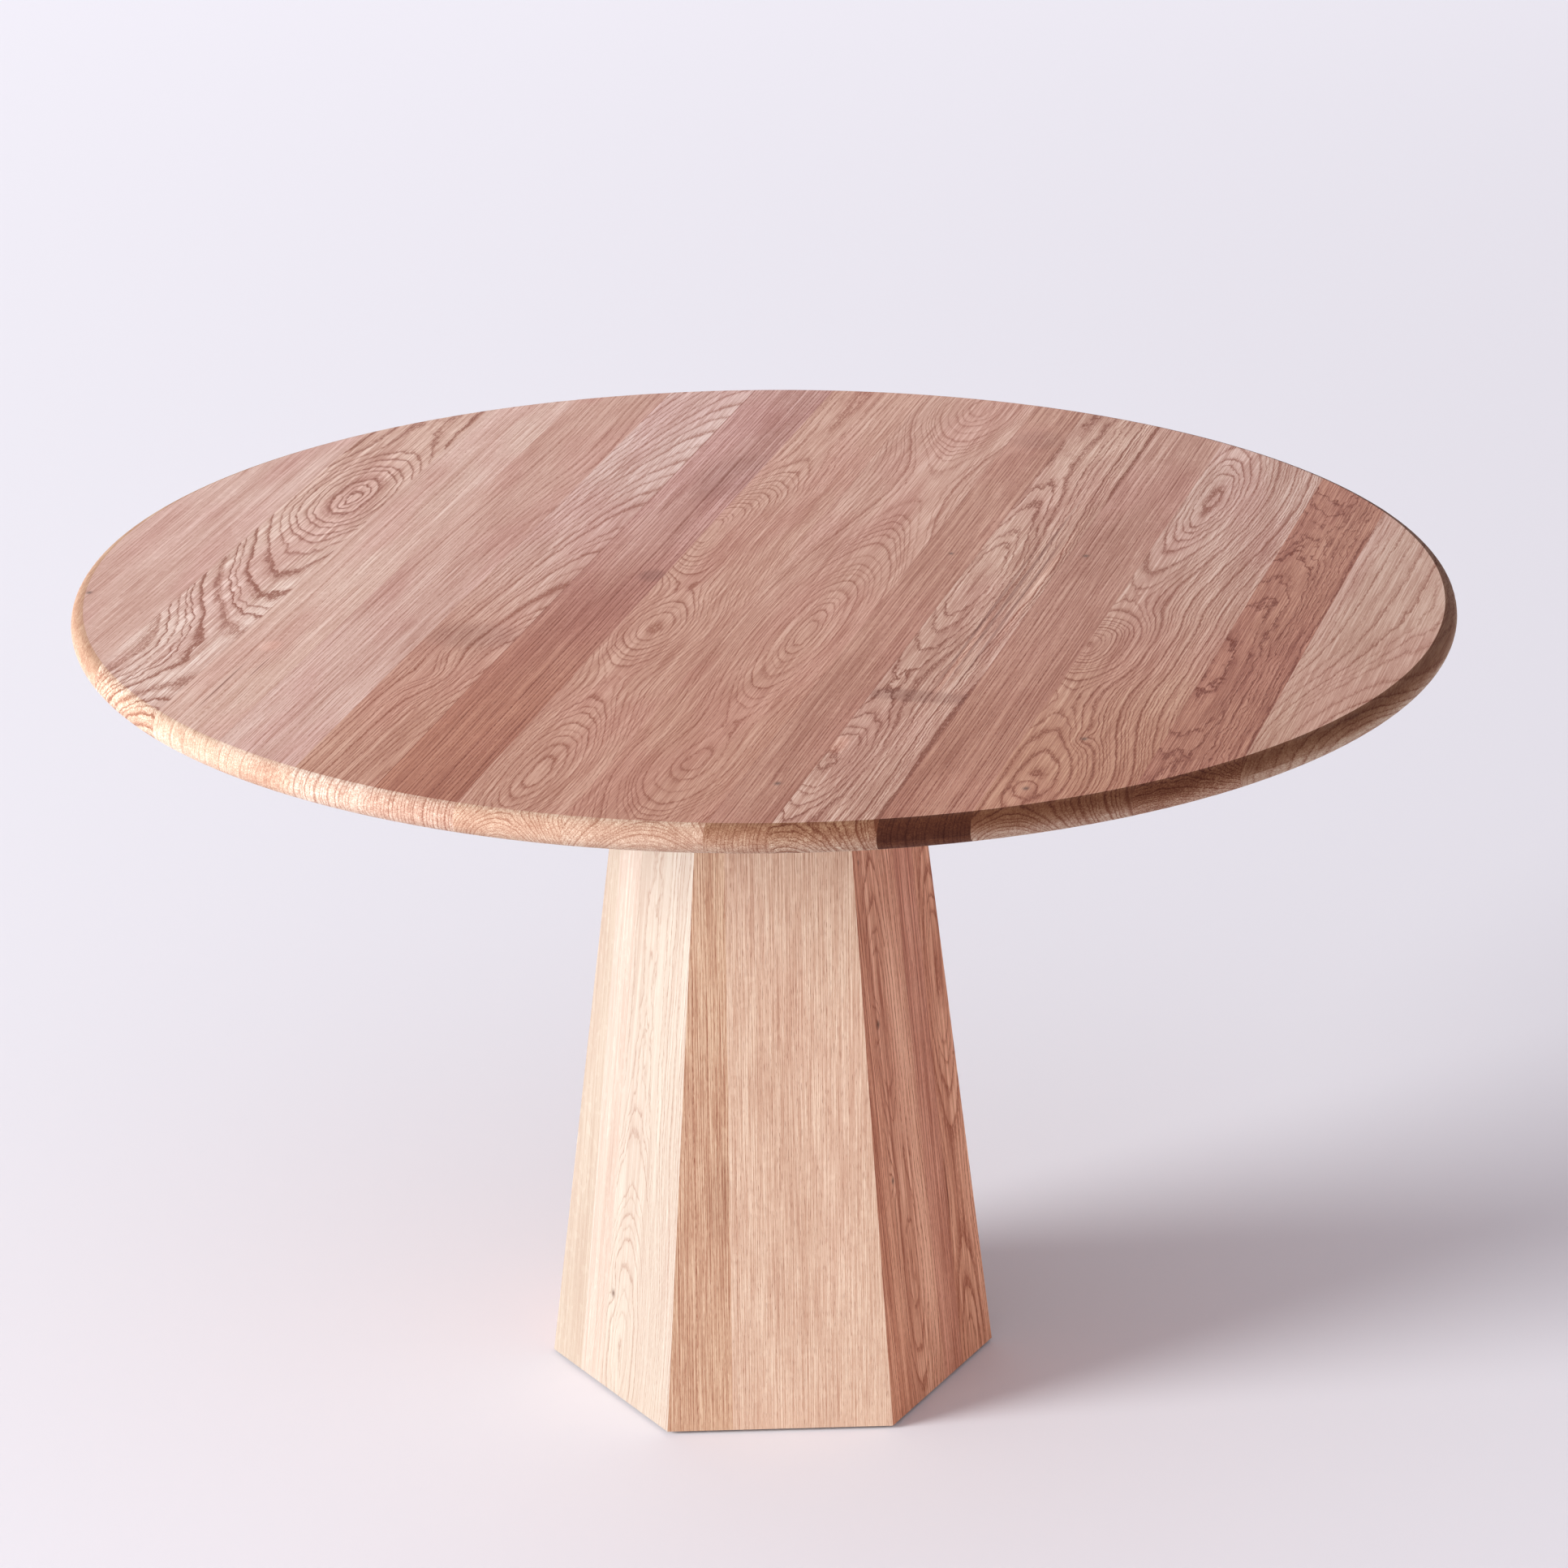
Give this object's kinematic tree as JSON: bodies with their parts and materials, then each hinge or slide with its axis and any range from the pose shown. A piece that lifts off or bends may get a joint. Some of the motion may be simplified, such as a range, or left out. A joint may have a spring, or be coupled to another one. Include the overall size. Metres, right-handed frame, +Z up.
{
  "type": "round pedestal table",
  "caption": "Round solid-oak dining table with a bullnosed glued-up top on a tapered six-sided pedestal with levelling feet.",
  "frame": {"origin": "on the floor, on the axis of the pedestal and the top", "axes": "+Z up; the pedestal's front face looks along -Y; the top's staves run 17.25 degrees clockwise from +Y seen from above"},
  "size_m": [1.2, 1.1999, 0.735],
  "materials": {
    "oak_top": "matt oiled oak",
    "oak_column": "matt oiled oak",
    "oak_batten": "planed oak",
    "birch_plywood": "sanded birch plywood with layered edges",
    "black_steel": "fine matt black powder coat",
    "zinc_steel": "bright zinc plating",
    "dark_nylon": "matt moulded nylon"
  },
  "bodies": {
    "table": {"top_stave_1": "oak_top", "top_stave_2": "oak_top", "top_stave_3": "oak_top", "top_stave_4": "oak_top", "top_stave_5": "oak_top", "top_stave_6": "oak_top", "top_stave_7": "oak_top", "top_stave_8": "oak_top", "top_stave_9": "oak_top", "top_stave_10": "oak_top", "top_stave_11": "oak_top", "top_stave_12": "oak_top", "top_stave_13": "oak_top", "top_stave_14": "oak_top", "front_panel_stave_1": "oak_column", "front_panel_stave_2": "oak_column", "front_right_panel_stave_1": "oak_column", "front_right_panel_stave_2": "oak_column", "front_right_panel_stave_3": "oak_column", "front_right_panel_stave_4": "oak_column", "back_right_panel_stave_1": "oak_column", "back_right_panel_stave_2": "oak_column", "back_panel_stave_1": "oak_column", "back_panel_stave_2": "oak_column", "back_left_panel_stave_1": "oak_column", "back_left_panel_stave_2": "oak_column", "front_left_panel_stave_1": "oak_column", "front_left_panel_stave_2": "oak_column", "front_left_panel_stave_3": "oak_column", "corner_splines": "birch_plywood", "upper_bulkhead": "birch_plywood", "middle_frame": "birch_plywood", "base_cleats": "oak_batten", "base_screws": "zinc_steel", "lower_ballast_plate": "black_steel", "upper_ballast_plate": "black_steel", "ballast_bolts": "zinc_steel", "ballast_nuts": "zinc_steel", "plate_bolts": "zinc_steel", "column_inserts": "zinc_steel", "top_screws": "zinc_steel", "top_washers": "zinc_steel", "top_inserts": "zinc_steel", "tee_nuts": "zinc_steel", "base_board": "birch_plywood", "mounting_plate": "black_steel", "left_channel": "black_steel", "right_channel": "black_steel"},
    "foot_1_pad": {"foot_1_pad": "dark_nylon"},
    "foot_1_stud": {"foot_1_stud": "zinc_steel"},
    "foot_2_pad": {"foot_2_pad": "dark_nylon"},
    "foot_2_stud": {"foot_2_stud": "zinc_steel"},
    "foot_3_pad": {"foot_3_pad": "dark_nylon"},
    "foot_3_stud": {"foot_3_stud": "zinc_steel"},
    "foot_4_pad": {"foot_4_pad": "dark_nylon"},
    "foot_4_stud": {"foot_4_stud": "zinc_steel"},
    "foot_5_pad": {"foot_5_pad": "dark_nylon"},
    "foot_5_stud": {"foot_5_stud": "zinc_steel"},
    "foot_6_pad": {"foot_6_pad": "dark_nylon"},
    "foot_6_stud": {"foot_6_stud": "zinc_steel"}
  },
  "joints": [
    {"name": "foot_1_lower", "type": "slide", "parent": "table", "child": "foot_1_pad", "axis": [0, 0, -1], "range_m": [0, 0.008]},
    {"name": "foot_1_turn", "type": "hinge", "parent": "foot_1_pad", "child": "foot_1_stud", "pos_m": [0.148, 0, 0.02], "axis": [0, 0, -1], "range_deg": [0, 1920]},
    {"name": "foot_2_lower", "type": "slide", "parent": "table", "child": "foot_2_pad", "axis": [0, 0, -1], "range_m": [0, 0.008]},
    {"name": "foot_2_turn", "type": "hinge", "parent": "foot_2_pad", "child": "foot_2_stud", "pos_m": [0.074, 0.12817, 0.02], "axis": [0, 0, -1], "range_deg": [0, 1920]},
    {"name": "foot_3_lower", "type": "slide", "parent": "table", "child": "foot_3_pad", "axis": [0, 0, -1], "range_m": [0, 0.008]},
    {"name": "foot_3_turn", "type": "hinge", "parent": "foot_3_pad", "child": "foot_3_stud", "pos_m": [-0.074, 0.12817, 0.02], "axis": [0, 0, -1], "range_deg": [0, 1920]},
    {"name": "foot_4_lower", "type": "slide", "parent": "table", "child": "foot_4_pad", "axis": [0, 0, -1], "range_m": [0, 0.008]},
    {"name": "foot_4_turn", "type": "hinge", "parent": "foot_4_pad", "child": "foot_4_stud", "pos_m": [-0.148, 0, 0.02], "axis": [0, 0, -1], "range_deg": [0, 1920]},
    {"name": "foot_5_lower", "type": "slide", "parent": "table", "child": "foot_5_pad", "axis": [0, 0, -1], "range_m": [0, 0.008]},
    {"name": "foot_5_turn", "type": "hinge", "parent": "foot_5_pad", "child": "foot_5_stud", "pos_m": [-0.074, -0.12817, 0.02], "axis": [0, 0, -1], "range_deg": [0, 1920]},
    {"name": "foot_6_lower", "type": "slide", "parent": "table", "child": "foot_6_pad", "axis": [0, 0, -1], "range_m": [0, 0.008]},
    {"name": "foot_6_turn", "type": "hinge", "parent": "foot_6_pad", "child": "foot_6_stud", "pos_m": [0.074, -0.12817, 0.02], "axis": [0, 0, -1], "range_deg": [0, 1920]}
  ],
  "couplings": [
    {"joint": "foot_1_turn", "follows": "foot_1_lower", "rad_per_m": 4188.8},
    {"joint": "foot_2_turn", "follows": "foot_2_lower", "rad_per_m": 4188.8},
    {"joint": "foot_3_turn", "follows": "foot_3_lower", "rad_per_m": 4188.8},
    {"joint": "foot_4_turn", "follows": "foot_4_lower", "rad_per_m": 4188.8},
    {"joint": "foot_5_turn", "follows": "foot_5_lower", "rad_per_m": 4188.8},
    {"joint": "foot_6_turn", "follows": "foot_6_lower", "rad_per_m": 4188.8}
  ]
}
